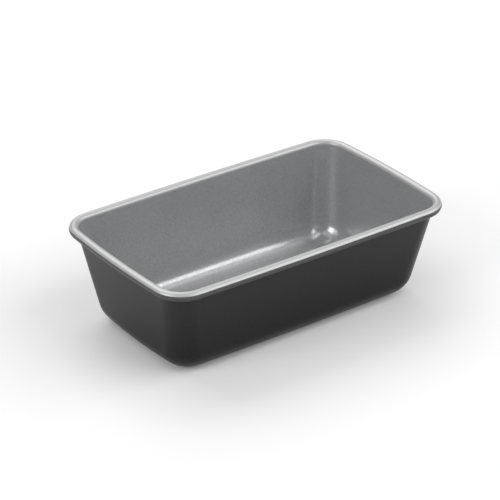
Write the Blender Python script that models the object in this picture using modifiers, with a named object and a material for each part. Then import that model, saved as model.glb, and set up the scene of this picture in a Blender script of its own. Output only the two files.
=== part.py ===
"""Loaf pan: a deep-drawn steel shell, its edge curled round a wire, coated light inside and dark outside.

Metres, +Z up. The origin is at the middle of the underside. +X runs along the pan, +Y across it.
"""

import math

import bpy

# Overall sizes.
RIM_LENGTH = 0.2500             # over the curled rim, along X
RIM_WIDTH = 0.1488              # over the curled rim, along Y
PAN_HEIGHT = 0.0762             # underside of the base to the top of the rim

# Plan shape.
RIM_CORNER_RADIUS = 0.0234      # outermost line of the rim
FLOOR_CORNER_RADIUS = 0.0186    # inside, where the walls would meet the floor
END_BOW = 0.0015                # how far the middle of an end stands out past its corners
SIDE_BOW = 0.0010               # the same for a long side

# Section through the wall.
END_DRAFT = math.radians(9.4)    # lean of the two end walls
SIDE_DRAFT = math.radians(10.3)  # lean of the two long walls
BASE_FILLET = 0.0165            # inside radius between walls and floor
SHEET = 0.0008                  # steel sheet
COAT = 0.0001                   # each coating
COAT_GAP = 0.0002               # clearance between a coating and the steel

# Rim.
WIRE_DIAMETER = 0.0040          # rim wire
WIRE_CLEARANCE = 0.0003         # between the wire and the inside of the curl
WIRE_BUTT_GAP = 0.0005          # between the two ends of the wire
EDGE_CLEARANCE = 0.0003         # between the sheet's curled edge and the wall
CREVICE_FILLET = 0.0005         # outer coating, where the curl comes back to the wall
COLOUR_LINE = math.radians(25)  # where the coatings meet, above the rim's outermost line
COLOUR_LINE_GAP = 0.0002        # between the edges of the two coatings

# Facets.
END_STEPS = 2                   # along half of an end
CORNER_STEPS = 8                # round a corner
SIDE_STEPS = 3                  # along half of a long side
FILLET_STEPS = 5                # up the fillet at the floor
WALL_STEPS = 2                  # up the wall
ROLL_STEP = math.radians(24)    # round the rim
CREVICE_STEPS = 3               # round the fillet in the crevice
WIRE_RESOLUTION = 2             # of the wire's round section

# Worked out from the sizes above.
WALL = COAT + COAT_GAP + SHEET + COAT_GAP + COAT
DRAFT = (END_DRAFT + SIDE_DRAFT) / 2
CURL_INSIDE = WIRE_DIAMETER / 2 + WIRE_CLEARANCE
CURL_OUTSIDE = CURL_INSIDE + SHEET
ROLL_RADIUS = CURL_OUTSIDE + COAT_GAP + COAT
ROLL_HEIGHT = PAN_HEIGHT - ROLL_RADIUS
ROLL_START = math.pi - DRAFT    # where the inside of the wall runs into the roll


def bow_radius(half_chord, bow):
    """Radius of an arc that rises by bow over its half chord."""
    return (half_chord ** 2 + bow ** 2) / (2 * bow)


def corner_centre(end_centre, end_reach, side_centre, side_reach):
    """The point at one reach from a centre on X and another from a centre on Y, nearest the pan's corner."""
    apart = math.hypot(end_centre, side_centre)
    along = (end_reach ** 2 - side_reach ** 2 + apart ** 2) / (2 * apart)
    across = math.sqrt(end_reach ** 2 - along ** 2)
    to_side = (-end_centre / apart, side_centre / apart)
    x = end_centre + along * to_side[0] - across * to_side[1]
    y = along * to_side[1] + across * to_side[0]
    return x, y


def arc(centre, radius, first, last, steps):
    """Points on an arc, both ends included."""
    angles = [first + (last - first) * step / steps for step in range(steps + 1)]
    return [(centre[0] + radius * math.cos(a), centre[1] + radius * math.sin(a)) for a in angles]


def outline(half_length, half_width, corner):
    """One closed ring in plan: four round corners joined by slightly bowed ends and sides."""
    end_radius = bow_radius(half_width - corner, END_BOW)
    side_radius = bow_radius(half_length - corner, SIDE_BOW)
    end_centre = half_length - end_radius
    side_centre = half_width - side_radius
    centre = corner_centre(end_centre, end_radius - corner, side_centre, side_radius - corner)
    end_stop = math.atan2(centre[1], centre[0] - end_centre)
    side_start = math.atan2(centre[1] - side_centre, centre[0])
    quarter = arc((end_centre, 0), end_radius, 0, end_stop, END_STEPS)
    quarter += arc(centre, corner, end_stop, side_start, CORNER_STEPS)[1:]
    quarter += arc((0, side_centre), side_radius, side_start, math.pi / 2, SIDE_STEPS)[1:]
    half = quarter + [(-x, y) for x, y in reversed(quarter[:-1])]
    return half + [(x, -y) for x, y in reversed(half[1:-1])]


def row(half_length, half_width, corner, height):
    """One ring of the pan, at one height."""
    return [(x, y, height) for x, y in outline(half_length, half_width, corner)]


def rim_row(out, height):
    """A ring that keeps one distance from the middle of the rim's roll, all round."""
    half_length = RIM_LENGTH / 2 - ROLL_RADIUS + out
    half_width = RIM_WIDTH / 2 - ROLL_RADIUS + out
    corner = RIM_CORNER_RADIUS - ROLL_RADIUS + out
    return row(half_length, half_width, corner, ROLL_HEIGHT + height)


def wall_size(depth, height):
    """Half length, half width and corner radius of the flat part of the wall.

    depth is measured into the wall from the face that touches the food.
    """
    radius = ROLL_RADIUS - depth
    below = ROLL_HEIGHT - height
    half_length = RIM_LENGTH / 2 - ROLL_RADIUS - radius / math.cos(END_DRAFT) - below * math.tan(END_DRAFT)
    half_width = RIM_WIDTH / 2 - ROLL_RADIUS - radius / math.cos(SIDE_DRAFT) - below * math.tan(SIDE_DRAFT)
    top_corner = RIM_CORNER_RADIUS - ROLL_RADIUS - radius / math.cos(DRAFT)
    low_corner = FLOOR_CORNER_RADIUS + depth
    share = below / (ROLL_HEIGHT - WALL + depth)
    return half_length, half_width, top_corner + (low_corner - top_corner) * share


def floor_rows(depth):
    """Rings up the fillet, from the edge of the flat floor to the foot of the wall."""
    radius = BASE_FILLET + depth
    middle = WALL - depth + radius
    rows = []
    for step in range(FILLET_STEPS + 1):
        angle = -math.pi / 2 + (math.pi / 2 - DRAFT) * step / FILLET_STEPS
        height = middle + radius * math.sin(angle)
        half_length, half_width, corner = wall_size(depth, height)
        end_inset = fillet_inset(radius, angle, END_DRAFT)
        side_inset = fillet_inset(radius, angle, SIDE_DRAFT)
        corner_inset = (end_inset + side_inset) / 2
        rows.append(row(half_length - end_inset, half_width - side_inset, corner - corner_inset, height))
    return rows


def fillet_inset(radius, angle, draft):
    """How far the fillet stands in from the wall's own line, at one angle round the fillet."""
    return radius / math.cos(draft) - radius * math.cos(angle) + radius * math.sin(angle) * math.tan(draft)


def wall_rows(depth, top):
    """Rings up the wall, above the fillet, the last one at the height top."""
    foot = WALL - depth + (BASE_FILLET + depth) * (1 - math.sin(DRAFT))
    heights = [foot + (top - foot) * (step + 1) / WALL_STEPS for step in range(WALL_STEPS)]
    return [row(*wall_size(depth, height), height) for height in heights]


def roll_rows(radius, first, last):
    """Rings round the roll, after the angle first and up to the angle last."""
    steps = max(1, round(abs(last - first) / ROLL_STEP))
    angles = [first + (last - first) * (step + 1) / steps for step in range(steps)]
    return [rim_row(radius * math.cos(a), radius * math.sin(a)) for a in angles]


def drawn_rows(depth, roll_end):
    """Rings of the pan's inside face, sunk by depth: floor, wall and roll as far as the angle roll_end."""
    radius = ROLL_RADIUS - depth
    top = ROLL_HEIGHT + radius * math.sin(ROLL_START)
    rows = floor_rows(depth) + wall_rows(depth, top)
    rows += roll_rows(radius, ROLL_START, math.pi / 2)
    return rows + roll_rows(radius, math.pi / 2, roll_end)


def outer_rows(roll_end):
    """Rings of the pan's outside face: base, wall, crevice under the rim, and roll as far as roll_end."""
    reach = ROLL_RADIUS + CREVICE_FILLET
    turn = ROLL_START + math.acos((ROLL_RADIUS - WALL - CREVICE_FILLET) / reach)
    middle = (reach * math.cos(turn), reach * math.sin(turn))
    crevice = arc(middle, CREVICE_FILLET, ROLL_START, turn - math.pi, CREVICE_STEPS)
    rows = floor_rows(WALL) + wall_rows(WALL, ROLL_HEIGHT + crevice[0][1])
    rows += [rim_row(out, height) for out, height in crevice[1:]]
    return rows + roll_rows(ROLL_RADIUS, turn, 2 * math.pi + roll_end)


def material(name, colour, roughness, metallic):
    """A plain Principled finish."""
    finish = bpy.data.materials.new(name)
    finish.use_nodes = True
    shader = finish.node_tree.nodes["Principled BSDF"]
    shader.inputs["Base Color"].default_value = (*colour, 1)
    shader.inputs["Roughness"].default_value = roughness
    shader.inputs["Metallic"].default_value = metallic
    return finish


def add_part(name, data, finish, collection, parent):
    """Puts one sub-part in the pan's collection, under the pan's origin."""
    part = bpy.data.objects.new(name, data)
    data.materials.append(finish)
    collection.objects.link(part)
    part.parent = parent
    return part


def pressed_skin(name, rows, thickness, side, finish, collection, parent):
    """A closed sheet: the open surface through the rows, thickened to one side of it.

    side is 1 to thicken away from the food and -1 to thicken towards it.
    """
    columns = len(rows[0])
    points = [point for ring in rows for point in ring]
    faces = [tuple(reversed(range(columns)))]
    for level in range(len(rows) - 1):
        for column in range(columns):
            low = level * columns + column
            low_next = level * columns + (column + 1) % columns
            faces.append((low, low_next, low_next + columns, low + columns))
    mesh = bpy.data.meshes.new(name)
    mesh.from_pydata(points, [], faces)
    mesh.shade_smooth()
    part = add_part(name, mesh, finish, collection, parent)
    thicken = part.modifiers.new("sheet thickness", "SOLIDIFY")
    thicken.thickness = thickness
    thicken.offset = side
    thicken.use_even_offset = True
    return part


def wire_points():
    """The wire's route, from the middle of the back all the way round to it again, ends left apart."""
    ring = rim_row(0, 0)
    back = max(range(len(ring)), key=lambda index: (ring[index][1], -abs(ring[index][0])))
    route = ring[back + 1:] + ring[:back]
    back_y = ring[back][1]
    return [(-WIRE_BUTT_GAP / 2, back_y)] + [point[:2] for point in route] + [(WIRE_BUTT_GAP / 2, back_y)]


def rim_wire(finish, collection, parent):
    """Round wire inside the curl, bent to the rim's outline, its two ends nearly meeting."""
    curve = bpy.data.curves.new("rim_wire", "CURVE")
    curve.dimensions = "3D"
    curve.bevel_depth = WIRE_DIAMETER / 2
    curve.bevel_resolution = WIRE_RESOLUTION
    curve.use_fill_caps = True
    route = wire_points()
    spline = curve.splines.new("POLY")
    spline.points.add(len(route) - 1)
    for point, place in zip(spline.points, route):
        point.co = (*place, 0, 1)
    wire = add_part("rim_wire", curve, finish, collection, parent)
    wire.location.z = ROLL_HEIGHT
    return wire


def build():
    """Makes the pan's collection, its origin and its four sub-parts."""
    for thing in list(bpy.data.objects):
        bpy.data.objects.remove(thing)
    collection = bpy.data.collections.new("loaf_pan")
    bpy.context.scene.collection.children.link(collection)
    origin = bpy.data.objects.new("base_centre", None)
    collection.objects.link(origin)

    steel = material("aluminised steel", (0.52, 0.53, 0.54), 0.35, 1.0)
    light = material("light grey non-stick", (0.33, 0.33, 0.33), 0.38, 0.75)
    dark = material("dark grey non-stick", (0.055, 0.056, 0.058), 0.45, 0.35)
    wire = material("rim wire", (0.45, 0.46, 0.47), 0.4, 1.0)

    sheet_depth = COAT + COAT_GAP
    edge_turn = math.acos((CURL_INSIDE - EDGE_CLEARANCE) / CURL_OUTSIDE)
    curl_end = ROLL_START - 2 * math.pi + edge_turn
    line_gap = COLOUR_LINE_GAP / (2 * ROLL_RADIUS)

    inside = drawn_rows(0, COLOUR_LINE + line_gap)
    shell = drawn_rows(sheet_depth, curl_end)
    outside = outer_rows(COLOUR_LINE - line_gap)
    pressed_skin("inside_coating", inside, COAT, 1, light, collection, origin)
    pressed_skin("pan_shell", shell, SHEET, 1, steel, collection, origin)
    pressed_skin("outside_coating", outside, COAT, -1, dark, collection, origin)
    rim_wire(wire, collection, origin)


build()
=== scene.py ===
"""Loaf pan: the finished look of a coated steel pan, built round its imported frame.

Metres, +Z up. The origin is at the middle of the underside, +X runs along the pan and +Y across it.
"""

import math

import bpy
from mathutils import Matrix, Vector


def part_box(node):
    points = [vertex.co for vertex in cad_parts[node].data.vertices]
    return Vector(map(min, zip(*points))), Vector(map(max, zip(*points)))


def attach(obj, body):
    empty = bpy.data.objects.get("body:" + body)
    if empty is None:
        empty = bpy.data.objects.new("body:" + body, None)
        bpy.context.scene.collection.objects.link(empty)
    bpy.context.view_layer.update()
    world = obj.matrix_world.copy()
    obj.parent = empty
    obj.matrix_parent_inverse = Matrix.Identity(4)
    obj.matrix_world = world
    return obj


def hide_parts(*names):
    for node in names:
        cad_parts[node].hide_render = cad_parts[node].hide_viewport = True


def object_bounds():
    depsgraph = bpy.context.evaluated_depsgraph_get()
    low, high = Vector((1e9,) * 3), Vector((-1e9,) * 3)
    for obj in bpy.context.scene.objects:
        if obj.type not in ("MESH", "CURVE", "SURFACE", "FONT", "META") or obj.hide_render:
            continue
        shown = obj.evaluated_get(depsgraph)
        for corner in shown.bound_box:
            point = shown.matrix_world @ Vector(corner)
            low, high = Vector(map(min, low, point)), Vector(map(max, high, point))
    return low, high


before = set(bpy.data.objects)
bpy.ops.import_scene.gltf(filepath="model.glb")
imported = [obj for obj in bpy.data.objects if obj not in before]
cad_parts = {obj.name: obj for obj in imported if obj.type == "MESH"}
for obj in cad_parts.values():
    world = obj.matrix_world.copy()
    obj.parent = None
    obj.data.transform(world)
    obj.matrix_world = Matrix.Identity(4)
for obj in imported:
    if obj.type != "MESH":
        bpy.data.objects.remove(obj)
frame_low, frame_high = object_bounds()
wire_low, wire_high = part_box("rim_wire")
lining_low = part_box("inside_coating")[0]

# Sizes that the frame gives.
RIM_LENGTH = frame_high.x - frame_low.x
RIM_WIDTH = frame_high.y - frame_low.y
PAN_HEIGHT = frame_high.z - frame_low.z
WIRE_DIAMETER = wire_high.z - wire_low.z
ROLL_HEIGHT = (wire_high.z + wire_low.z) / 2
ROLL_RADIUS = PAN_HEIGHT - ROLL_HEIGHT

# Shape of the pressing.
RIM_CORNER_RADIUS = 0.0234       # outermost line of the rim
FLOOR_CORNER_RADIUS = 0.0186     # inside, where the walls would meet the floor
END_BOW = 0.0015                 # how far the middle of an end stands out past its corners
SIDE_BOW = 0.0010                # the same for a long side
END_DRAFT = math.radians(9.4)    # lean of the two end walls
SIDE_DRAFT = math.radians(10.3)  # lean of the two long walls
BASE_FILLET = 0.0165             # inside radius between walls and floor
COAT = 0.0001                    # each coating
COAT_GAP = 0.0002                # clearance between a coating and the steel
SHEET = 0.0008                   # steel sheet
EDGE_CLEARANCE = 0.0003          # between the sheet's curled edge and the wall
CREVICE_FILLET = 0.0005          # outer coating, where the curl comes back to the wall
WIRE_BUTT_GAP = 0.0005           # between the two ends of the wire
COLOUR_LINE = math.radians(25)   # where the coatings meet, above the rim's outermost line
COLOUR_LINE_GAP = 0.00002        # between the edges of the two coatings

# Worked out from the sizes above.
WALL = lining_low.z + COAT - frame_low.z
DRAFT = (END_DRAFT + SIDE_DRAFT) / 2
CURL_OUTSIDE = ROLL_RADIUS - COAT - COAT_GAP
CURL_INSIDE = CURL_OUTSIDE - SHEET
ROLL_START = math.pi - DRAFT

# How finely the pressing is divided.
END_STEPS = 8                    # along half of an end
CORNER_STEPS = 20                # round a corner
SIDE_STEPS = 12                  # along half of a long side
FILLET_STEPS = 14                # up the fillet at the floor
WALL_STEPS = 12                  # up the wall
ROLL_STEP = math.radians(7)      # round the rim
CREVICE_STEPS = 8                # round the fillet in the crevice
FLOOR_SHARES = (0.2, 0.4, 0.6, 0.8)  # rings inside the flat floor, as shares of its size
WIRE_ROUNDNESS = 6               # bevel resolution of the wire
SHARP_ANGLE = math.radians(35)   # edges that bend more than this stay crisp

# Grain of the finishes: how wide each kind of mark is.
FLAKE = 0.00045                  # metal flakes in the coatings
GRAIN = 0.0012                   # coarser grain between the flakes
MOTTLE = 0.035                   # slow changes of shade over the coatings
ORANGE_PEEL = 0.0011             # ripples in the coatings' skin
ROLL_TOP_PATCH = 0.006                    # patches in the paler, duller band over the top of the roll
PALE_SPECK = 0.0012              # pale specks on the dark coating, thicker up the roll
ROLLED_LINE = 0.0006             # lines along the rolled sheet
SPANGLE = 0.004                  # crystals in the sheet's aluminised face
DIE_LINE = 0.0005                # marks that drawing left on the wire
TARNISH = 0.012                  # duller patches on the wire
RELIEF = 0.00001                 # height of every finish's bumps

# Tones and strengths of the finishes.
FLAKE_SHARE = 0.25               # what the flakes add to a coating's shade
GRAIN_SHARE = 0.5                # the same for the grain
MOTTLE_SHARE = 0.25              # the same for the mottling
METAL_SPREAD = 0.04              # how far a coating's metal varies, either way
DULLNESS_SPREAD = 0.02           # the same for its roughness
GRAIN_CONTRAST = (0.35, 0.65)    # the grain goes from dark to light between these
PAINTED_GLINT_LIMITS = (0.86, 0.97)      # painted glints: the palest flakes, between these, are coloured near white
PAINTED_GLINT_TONE = 0.9                 # how pale the painted glints are
COOLNESS = 0.006                 # how blue the light coating is
ROLL_TOP_TONE = 0.58              # the light coating, paler, over the top of the roll
ROLL_TOP_DULLNESS = 0.2           # roughness added over the top of the roll
PALE_OVERLAY_TONE = 0.11                 # pale grey laid over the dark coating: the painted light on its wall and the specks on its roll
PAINTED_LIGHT_FOOT = 0.010                # height on the outer wall where the painted light begins
PAINTED_LIGHT_SHARE = 0.12                # how thick the painted light is at the top of the wall, leaving the foot darker as painted shade
ROLLED_STRETCH = (0.04, 1, 1)    # the sheet's lines are long along X

# Camera.
VIEW_AZIMUTH = math.radians(-35.97)
VIEW_ELEVATION = math.radians(28.13)
VIEW_ROLL = math.radians(-0.09)
VIEW_DISTANCE = 1.708
VIEW_HEIGHT = 0.035              # the point looked at, on the pan's middle line
VIEW_RIGHT = -0.00517            # camera moved sideways, across its view
VIEW_UP = 0.00863                # camera moved up its view
VIEW_LENS = 169.7                # focal length in millimetres, on a 36 mm frame
VIEW_NEAR = 0.05                 # nothing closer than this is seen
VIEW_FAR = 50                    # nor farther than this

# Floor and lights. A softbox has a name, its azimuth and elevation in degrees, its width and
# height, and its brightness.
FLOOR_SIZE = 30
FLOOR_TONE = 0.94
FLOOR_GLOW = 0.1                 # the table top is lit a little from inside
ROOM_BRIGHTNESS = 0.24
SOFTBOX_DISTANCE = 3.0
SOFTBOXES = (
    ("front_strip", 24, 38, 1.8, 0.8, 3.2),
    ("right_strip", 64, 38, 1.5, 0.75, 3.3),
    ("low_right_strip", 70, 18, 3.5, 0.75, 1.1),
    ("high_front_softbox", 20, 61, 2.4, 0.9, 1.5),
    ("high_right_softbox", 100, 57, 2.8, 1.1, 0.4),
    ("back_right_softbox", 145, 30, 2.0, 1.4, 0.6),
    ("back_softbox", 180, 55, 2.8, 2.0, 1.9),
    ("left_softbox", 273, 32, 1.3, 1.1, 4.6),
    ("high_left_softbox", 282, 56, 2.2, 1.0, 0.7),
)


# ---------------------------------------------------------------- the pressing's shape

def bow_radius(half_chord, bow):
    """Radius of an arc that rises by bow over its half chord."""
    return (half_chord ** 2 + bow ** 2) / (2 * bow)


def corner_centre(end_centre, end_reach, side_centre, side_reach):
    """The point at one reach from a centre on X and another from one on Y, nearest the pan's corner."""
    apart = math.hypot(end_centre, side_centre)
    along = (end_reach ** 2 - side_reach ** 2 + apart ** 2) / (2 * apart)
    across = math.sqrt(end_reach ** 2 - along ** 2)
    to_side = (-end_centre / apart, side_centre / apart)
    x = end_centre + along * to_side[0] - across * to_side[1]
    y = along * to_side[1] + across * to_side[0]
    return x, y


def arc(centre, radius, first, last, steps):
    """Points on an arc, both ends included."""
    angles = [first + (last - first) * step / steps for step in range(steps + 1)]
    return [(centre[0] + radius * math.cos(a), centre[1] + radius * math.sin(a)) for a in angles]


def outline(half_length, half_width, corner):
    """One closed ring in plan: four round corners joined by slightly bowed ends and sides."""
    end_radius = bow_radius(half_width - corner, END_BOW)
    side_radius = bow_radius(half_length - corner, SIDE_BOW)
    end_centre = half_length - end_radius
    side_centre = half_width - side_radius
    centre = corner_centre(end_centre, end_radius - corner, side_centre, side_radius - corner)
    end_stop = math.atan2(centre[1], centre[0] - end_centre)
    side_start = math.atan2(centre[1] - side_centre, centre[0])
    quarter = arc((end_centre, 0), end_radius, 0, end_stop, END_STEPS)
    quarter += arc(centre, corner, end_stop, side_start, CORNER_STEPS)[1:]
    quarter += arc((0, side_centre), side_radius, side_start, math.pi / 2, SIDE_STEPS)[1:]
    half = quarter + [(-x, y) for x, y in reversed(quarter[:-1])]
    return half + [(x, -y) for x, y in reversed(half[1:-1])]


def row(half_length, half_width, corner, height):
    """One ring of the pan, at one height."""
    return [(x, y, height) for x, y in outline(half_length, half_width, corner)]


def rim_row(out, height):
    """A ring that keeps one distance from the middle of the rim's roll, all round."""
    half_length = RIM_LENGTH / 2 - ROLL_RADIUS + out
    half_width = RIM_WIDTH / 2 - ROLL_RADIUS + out
    corner = RIM_CORNER_RADIUS - ROLL_RADIUS + out
    return row(half_length, half_width, corner, ROLL_HEIGHT + height)


def wall_size(depth, height):
    """Half length, half width and corner radius of the wall, depth being into it from the food side."""
    radius = ROLL_RADIUS - depth
    below = ROLL_HEIGHT - height
    end_inset = ROLL_RADIUS + radius / math.cos(END_DRAFT) + below * math.tan(END_DRAFT)
    side_inset = ROLL_RADIUS + radius / math.cos(SIDE_DRAFT) + below * math.tan(SIDE_DRAFT)
    top_corner = RIM_CORNER_RADIUS - ROLL_RADIUS - radius / math.cos(DRAFT)
    low_corner = FLOOR_CORNER_RADIUS + depth
    share = below / (ROLL_HEIGHT - WALL + depth)
    corner = top_corner + (low_corner - top_corner) * share
    return RIM_LENGTH / 2 - end_inset, RIM_WIDTH / 2 - side_inset, corner


def fillet_inset(radius, angle, draft):
    """How far the fillet stands in from the wall's own line, at one angle round the fillet."""
    lean = radius * math.sin(angle) * math.tan(draft)
    return radius / math.cos(draft) - radius * math.cos(angle) + lean


def floor_rows(depth):
    """Rings across the flat floor and up the fillet to the foot of the wall."""
    radius = BASE_FILLET + depth
    middle = WALL - depth + radius
    rows = []
    for step in range(FILLET_STEPS + 1):
        angle = -math.pi / 2 + (math.pi / 2 - DRAFT) * step / FILLET_STEPS
        height = middle + radius * math.sin(angle)
        half_length, half_width, corner = wall_size(depth, height)
        end_inset = fillet_inset(radius, angle, END_DRAFT)
        side_inset = fillet_inset(radius, angle, SIDE_DRAFT)
        corner_inset = (end_inset + side_inset) / 2
        rows.append(row(half_length - end_inset, half_width - side_inset, corner - corner_inset, height))
    flat = [[(x * share, y * share, z) for x, y, z in rows[0]] for share in FLOOR_SHARES]
    return flat + rows


def wall_rows(depth, top):
    """Rings up the wall, above the fillet, the last one at the height top."""
    foot = WALL - depth + (BASE_FILLET + depth) * (1 - math.sin(DRAFT))
    heights = [foot + (top - foot) * (step + 1) / WALL_STEPS for step in range(WALL_STEPS)]
    return [row(*wall_size(depth, height), height) for height in heights]


def roll_rows(radius, first, last):
    """Rings round the roll, after the angle first and up to the angle last."""
    steps = max(1, round(abs(last - first) / ROLL_STEP))
    angles = [first + (last - first) * (step + 1) / steps for step in range(steps)]
    return [rim_row(radius * math.cos(a), radius * math.sin(a)) for a in angles]


def drawn_rows(depth, roll_end):
    """Rings of the food side, sunk by depth: floor, wall and roll as far as the angle roll_end."""
    radius = ROLL_RADIUS - depth
    top = ROLL_HEIGHT + radius * math.sin(ROLL_START)
    rows = floor_rows(depth) + wall_rows(depth, top)
    rows += roll_rows(radius, ROLL_START, math.pi / 2)
    return rows + roll_rows(radius, math.pi / 2, roll_end)


def outer_rows(film, roll_end):
    """Rings of the outside, sunk by film: base, wall, crevice under the rim, roll to roll_end."""
    depth = WALL - film
    reach = ROLL_RADIUS + CREVICE_FILLET
    turn = ROLL_START + math.acos((ROLL_RADIUS - WALL - CREVICE_FILLET) / reach)
    middle = (reach * math.cos(turn), reach * math.sin(turn))
    crevice = arc(middle, CREVICE_FILLET + film, ROLL_START, turn - math.pi, CREVICE_STEPS)
    rows = floor_rows(depth) + wall_rows(depth, ROLL_HEIGHT + crevice[0][1])
    rows += [rim_row(out, height) for out, height in crevice[1:]]
    return rows + roll_rows(ROLL_RADIUS - film, turn, 2 * math.pi + roll_end)


def closed_skin(name, food_side, outer_side, finish):
    """A closed sheet between two faces, each given as rings from the middle of the floor to the edge."""
    rings = food_side + outer_side[::-1]
    columns = len(rings[0])
    points = [point for ring in rings for point in ring]
    faces = [tuple(range(columns))]
    for level in range(len(rings) - 1):
        for column in range(columns):
            here = level * columns + column
            beside = level * columns + (column + 1) % columns
            faces.append((here, here + columns, beside + columns, beside))
    last = (len(rings) - 1) * columns
    faces.append(tuple(reversed(range(last, last + columns))))
    mesh = bpy.data.meshes.new(name)
    mesh.from_pydata(points, [], faces)
    mesh.materials.append(finish)
    mesh.shade_smooth()
    mesh.set_sharp_from_angle(angle=SHARP_ANGLE)
    skin = bpy.data.objects.new(name, mesh)
    bpy.context.collection.objects.link(skin)
    return skin


# ---------------------------------------------------------------- finishes

class Signal:
    """A value on its way through a finish. Arithmetic on it adds Math nodes."""

    def __init__(self, finish, socket):
        self.finish = finish
        self.socket = socket

    def __add__(self, other):
        return self.finish.math("ADD", self, other)

    __radd__ = __add__

    def __mul__(self, other):
        return self.finish.math("MULTIPLY", self, other)

    __rmul__ = __mul__


class Finish:
    """A surface finish: a material whose nodes are added one call at a time."""

    def __init__(self, name):
        self.material = bpy.data.materials.new(name)
        self.material.use_nodes = True
        self.tree = self.material.node_tree
        self.surface = self.tree.nodes["Principled BSDF"]

    def feed(self, socket, value):
        """Sets a socket to a number or colour, or links a signal to it."""
        if isinstance(value, Signal):
            self.tree.links.new(value.socket, socket)
        else:
            socket.default_value = value

    def add(self, kind, settings, inputs, output=0):
        """Adds a node: its settings first, then its sockets. Returns one output as a signal."""
        node = self.tree.nodes.new(kind)
        for name, value in settings.items():
            setattr(node, name, value)
        for name, value in inputs.items():
            self.feed(node.inputs[name], value)
        return Signal(self, node.outputs[output])

    def math(self, operation, first, second):
        """One Math node."""
        return self.add("ShaderNodeMath", {"operation": operation}, {0: first, 1: second})

    def ramp(self, value, low, high, start=0.0, stop=1.0):
        """A value eased from start to stop as it goes from low to high."""
        settings = {"interpolation_type": "SMOOTHSTEP"}
        inputs = {"Value": value, "From Min": low, "From Max": high, "To Min": start, "To Max": stop}
        return self.add("ShaderNodeMapRange", settings, inputs)

    def blend(self, share, first, second):
        """A colour part of the way from first to second."""
        return self.add("ShaderNodeMix", {"data_type": "RGBA"}, {0: share, 6: first, 7: second}, 2)

    def place(self):
        """The point on the pan, in metres."""
        return self.add("ShaderNodeTexCoord", {}, {}, "Object")

    def noise(self, where, size, detail=2.0, roughness=0.5):
        """Soft noise whose blobs measure about size metres."""
        inputs = {"Vector": where, "Scale": 1 / size, "Detail": detail, "Roughness": roughness}
        return self.add("ShaderNodeTexNoise", {}, inputs)

    def flakes(self, where, size):
        """A random shade for each flake of about size metres."""
        cell = self.add("ShaderNodeTexVoronoi", {}, {"Vector": where, "Scale": 1 / size}, "Color")
        return self.add("ShaderNodeSeparateColor", {}, {"Color": cell}, "Red")

    def set(self, **sockets):
        """Feeds the surface's own sockets, named with underscores for spaces."""
        for name, value in sockets.items():
            self.feed(self.surface.inputs[name.replace("_", " ")], value)

    def source(self, name):
        """The signal that already feeds one of the surface's sockets."""
        return Signal(self, self.surface.inputs[name].links[0].from_socket)

    def bump(self, height):
        """Raises the surface by a height signal."""
        inputs = {"Height": height, "Distance": RELIEF, "Strength": 1.0}
        self.feed(self.surface.inputs["Normal"], self.add("ShaderNodeBump", {}, inputs))


def grey(level, coolness=0.0):
    """A near-neutral colour, a little bluer as coolness grows."""
    return (level * (1 - coolness), level, level * (1 + 2 * coolness), 1.0)


def coating(name, dark, light, metal, dullness, painted_glint_strength, shine):
    """Baked non-stick coating with metal flake in it: grain, slow mottling, painted glints and orange
    peel.
    """
    finish = Finish(name)
    where = finish.place()
    fine = finish.flakes(where, FLAKE)
    coarse = finish.noise(where, GRAIN, detail=3.0, roughness=0.6)
    slow = finish.noise(where, MOTTLE)
    crisp = finish.ramp(coarse, *GRAIN_CONTRAST)
    grain = fine * FLAKE_SHARE + crisp * GRAIN_SHARE + slow * MOTTLE_SHARE
    shade = finish.blend(grain, dark, light)
    # Painted glints: the palest flakes are coloured near white, as painted highlights.
    painted_glint_mask = finish.ramp(fine, *PAINTED_GLINT_LIMITS) * painted_glint_strength
    cloud = coarse * 0.5 + slow * 0.5
    finish.set(
        Base_Color=finish.blend(painted_glint_mask, shade, grey(PAINTED_GLINT_TONE)),
        Metallic=finish.ramp(grain, 0.2, 0.8, metal - METAL_SPREAD, metal + METAL_SPREAD),
        Roughness=finish.ramp(cloud, 0.3, 0.7, dullness - DULLNESS_SPREAD, dullness + DULLNESS_SPREAD),
        Specular_IOR_Level=shine,
    )
    finish.bump(finish.noise(where, ORANGE_PEEL))
    return finish


def height_share(finish, low, high):
    """How far up the pan a point is: 0 at the height low, 1 at the height high."""
    height = finish.add("ShaderNodeSeparateXYZ", {}, {"Vector": finish.place()}, "Z")
    return finish.ramp(height, low, high)


def light_coating():
    """Light grey non-stick, inside and over the rim, paler and duller over the top of the roll."""
    finish = coating(
        "light grey non-stick", dark=grey(0.34, COOLNESS), light=grey(0.60, COOLNESS),
        metal=0.46, dullness=0.22, painted_glint_strength=0.12, shine=0.5)
    patches = finish.noise(finish.place(), ROLL_TOP_PATCH, detail=3.0, roughness=0.6)
    up_the_roll = height_share(finish, ROLL_HEIGHT, ROLL_HEIGHT + ROLL_RADIUS / 3)
    roll_top_share = up_the_roll * finish.ramp(patches, 0.2, 0.5, start=0.85, stop=1.0)
    colour = finish.source("Base Color")
    roughness = finish.source("Roughness")
    finish.set(
        Base_Color=finish.blend(roll_top_share, colour, grey(ROLL_TOP_TONE, COOLNESS / 2)),
        Roughness=roughness + roll_top_share * ROLL_TOP_DULLNESS,
    )
    return finish.material


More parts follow.
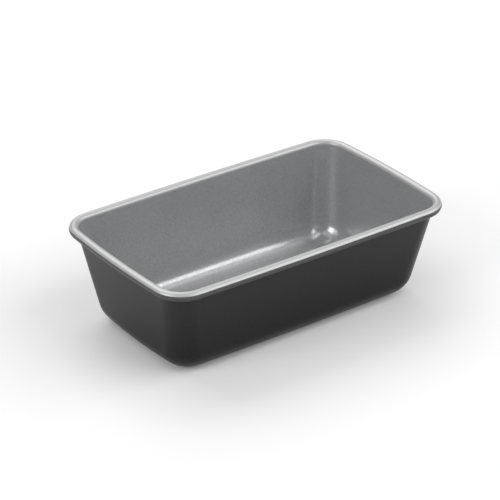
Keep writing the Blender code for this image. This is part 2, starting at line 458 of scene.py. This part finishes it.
def dark_coating():
    """Charcoal non-stick, outside, with painted light that pales the wall towards the top, and pale
    specks up the roll.
    """
    finish = coating(
        "charcoal non-stick", dark=grey(0.003), light=grey(0.010),
        metal=0.05, dullness=0.36, painted_glint_strength=0.01, shine=0.22)
    patches = finish.noise(finish.place(), PALE_SPECK, detail=3.0, roughness=0.6)
    colour_line = ROLL_HEIGHT + ROLL_RADIUS * math.sin(COLOUR_LINE)
    up_the_wall = height_share(finish, PAINTED_LIGHT_FOOT, ROLL_HEIGHT - ROLL_RADIUS)
    up_the_roll = height_share(finish, ROLL_HEIGHT - ROLL_RADIUS * 1.2, colour_line)
    pale_specks = up_the_roll * finish.ramp(patches, 0.3, 0.6, start=0.6, stop=1.0)
    # Painted light and shade: the outer wall is coloured paler towards the top and stays darker at its
    # foot.
    painted_light_colour = finish.blend(up_the_wall * PAINTED_LIGHT_SHARE, finish.source("Base Color"), grey(PALE_OVERLAY_TONE))
    finish.set(Base_Color=finish.blend(pale_specks, painted_light_colour, grey(PALE_OVERLAY_TONE)))
    return finish.material


def sheet_steel():
    """Aluminised steel sheet, rolled along the pan."""
    finish = Finish("aluminised steel")
    where = finish.place()
    stretched = finish.add("ShaderNodeMapping", {}, {"Vector": where, "Scale": ROLLED_STRETCH})
    lines = finish.noise(stretched, ROLLED_LINE, detail=3.0, roughness=0.7)
    shade = lines * 0.7 + finish.flakes(where, SPANGLE) * 0.3
    finish.set(
        Base_Color=finish.blend(shade, grey(0.45), grey(0.62)),
        Metallic=1.0,
        Roughness=finish.ramp(lines, 0.3, 0.7, start=0.28, stop=0.42),
    )
    finish.bump(lines)
    return finish.material


def drawn_wire():
    """Bright drawn wire, with die marks and a little tarnish."""
    finish = Finish("drawn steel wire")
    where = finish.place()
    marks = finish.noise(where, DIE_LINE, detail=3.0, roughness=0.7)
    tarnish = finish.noise(where, TARNISH)
    finish.set(
        Base_Color=finish.blend(marks * 0.5 + tarnish * 0.5, grey(0.36, -0.02), grey(0.55)),
        Metallic=1.0,
        Roughness=finish.ramp(tarnish, 0.3, 0.7, start=0.3, stop=0.48),
    )
    finish.bump(marks)
    return finish.material


def pale_floor():
    """Plain matt white table top, lit a little from inside."""
    finish = Finish("matt white table top")
    finish.set(
        Base_Color=grey(FLOOR_TONE),
        Roughness=0.9,
        Specular_IOR_Level=0.1,
        Emission_Color=grey(1.0),
        Emission_Strength=FLOOR_GLOW,
    )
    return finish.material


# ---------------------------------------------------------------- the pan's pieces

def add_lining():
    """The light coating: floor, walls and over the top of the rim."""
    edge = COLOUR_LINE + COLOUR_LINE_GAP / (2 * ROLL_RADIUS)
    food_side = drawn_rows(0, edge)
    outer_side = drawn_rows(COAT, edge)
    lining = closed_skin("nonstick_lining", food_side, outer_side, light_coating())
    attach(lining, "root")
    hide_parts("inside_coating")


def add_outer_coat():
    """The dark coating: base, outer walls and the outer, lower part of the rim."""
    edge = COLOUR_LINE - COLOUR_LINE_GAP / (2 * ROLL_RADIUS)
    food_side = outer_rows(COAT, edge)
    outer_side = outer_rows(0, edge)
    coat = closed_skin("nonstick_outer_coat", food_side, outer_side, dark_coating())
    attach(coat, "root")
    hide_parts("outside_coating")


def add_pressing():
    """The steel sheet between the coatings, its edge curled round the wire."""
    near = COAT + COAT_GAP
    edge_turn = math.acos((CURL_INSIDE - EDGE_CLEARANCE) / CURL_OUTSIDE)
    curl_end = ROLL_START - 2 * math.pi + edge_turn
    food_side = drawn_rows(near, curl_end)
    outer_side = drawn_rows(near + SHEET, curl_end)
    pressing = closed_skin("steel_pressing", food_side, outer_side, sheet_steel())
    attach(pressing, "root")
    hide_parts("pan_shell")


def add_rim_wire():
    """Round wire inside the curl, its two ends nearly meeting at the middle of the back."""
    ring = rim_row(0, 0)
    back = CORNER_STEPS + END_STEPS + SIDE_STEPS
    y, z = ring[back][1:]
    route = [(-WIRE_BUTT_GAP / 2, y, z)] + ring[back + 1:] + ring[:back] + [(WIRE_BUTT_GAP / 2, y, z)]
    curve = bpy.data.curves.new("rim_reinforcing_wire", "CURVE")
    curve.dimensions = "3D"
    curve.bevel_depth = WIRE_DIAMETER / 2
    curve.bevel_resolution = WIRE_ROUNDNESS
    curve.use_fill_caps = True
    spline = curve.splines.new("POLY")
    spline.points.add(len(route) - 1)
    for point, spot in zip(spline.points, route):
        point.co = (*spot, 1)
    spline.use_smooth = True
    curve.materials.append(drawn_wire())
    wire = bpy.data.objects.new("rim_reinforcing_wire", curve)
    bpy.context.collection.objects.link(wire)
    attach(wire, "root")
    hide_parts("rim_wire")


# ---------------------------------------------------------------- the studio

def add_floor():
    """A plain pale floor under the pan."""
    bpy.ops.mesh.primitive_plane_add(size=FLOOR_SIZE, location=(0, 0, frame_low.z))
    floor = bpy.context.object
    floor.name = "studio_floor"
    floor.data.materials.append(pale_floor())


def add_softbox(name, azimuth, elevation, width, height, brightness):
    """A flat white light that faces the pan. Azimuth 0 is in front of it, on -Y, and 90 on +X."""
    light = bpy.data.lights.new(name, "AREA")
    light.shape = "RECTANGLE"
    light.size = width
    light.size_y = height
    light.energy = brightness * math.pi * width * height
    turn = math.radians(azimuth)
    rise = math.radians(elevation)
    away = Vector((math.sin(turn) * math.cos(rise), -math.cos(turn) * math.cos(rise), math.sin(rise)))
    lamp = bpy.data.objects.new(name, light)
    lamp.location = away * SOFTBOX_DISTANCE
    lamp.rotation_euler = away.to_track_quat("Z", "Y").to_euler()
    bpy.context.collection.objects.link(lamp)


def add_lights():
    """Soft white lights all round the pan, in a dimmer white room."""
    world = bpy.data.worlds.new("white room")
    world.use_nodes = True
    background = world.node_tree.nodes["Background"]
    background.inputs["Color"].default_value = grey(1.0)
    background.inputs["Strength"].default_value = ROOM_BRIGHTNESS
    bpy.context.scene.world = world
    for softbox in SOFTBOXES:
        add_softbox(*softbox)


def add_camera():
    """A long lens, looking down on the pan past its front left corner."""
    back = Vector((
        math.sin(VIEW_AZIMUTH) * math.cos(VIEW_ELEVATION),
        -math.cos(VIEW_AZIMUTH) * math.cos(VIEW_ELEVATION),
        math.sin(VIEW_ELEVATION),
    ))
    level = Vector((math.cos(VIEW_AZIMUTH), math.sin(VIEW_AZIMUTH), 0))
    turn = Matrix.Rotation(VIEW_ROLL, 3, back)
    right = turn @ level
    up = turn @ back.cross(level)
    place = Vector((0, 0, VIEW_HEIGHT)) + right * VIEW_RIGHT + up * VIEW_UP + back * VIEW_DISTANCE
    axes = Matrix((right, up, back)).transposed()
    lens = bpy.data.cameras.new("camera")
    lens.lens = VIEW_LENS
    lens.clip_start = VIEW_NEAR
    lens.clip_end = VIEW_FAR
    camera = bpy.data.objects.new("camera", lens)
    camera.matrix_world = Matrix.Translation(place) @ axes.to_4x4()
    bpy.context.collection.objects.link(camera)
    bpy.context.scene.camera = camera


add_lining()
add_outer_coat()
add_pressing()
add_rim_wire()
add_floor()
add_lights()
add_camera()
bpy.context.scene.view_settings.view_transform = "Standard"
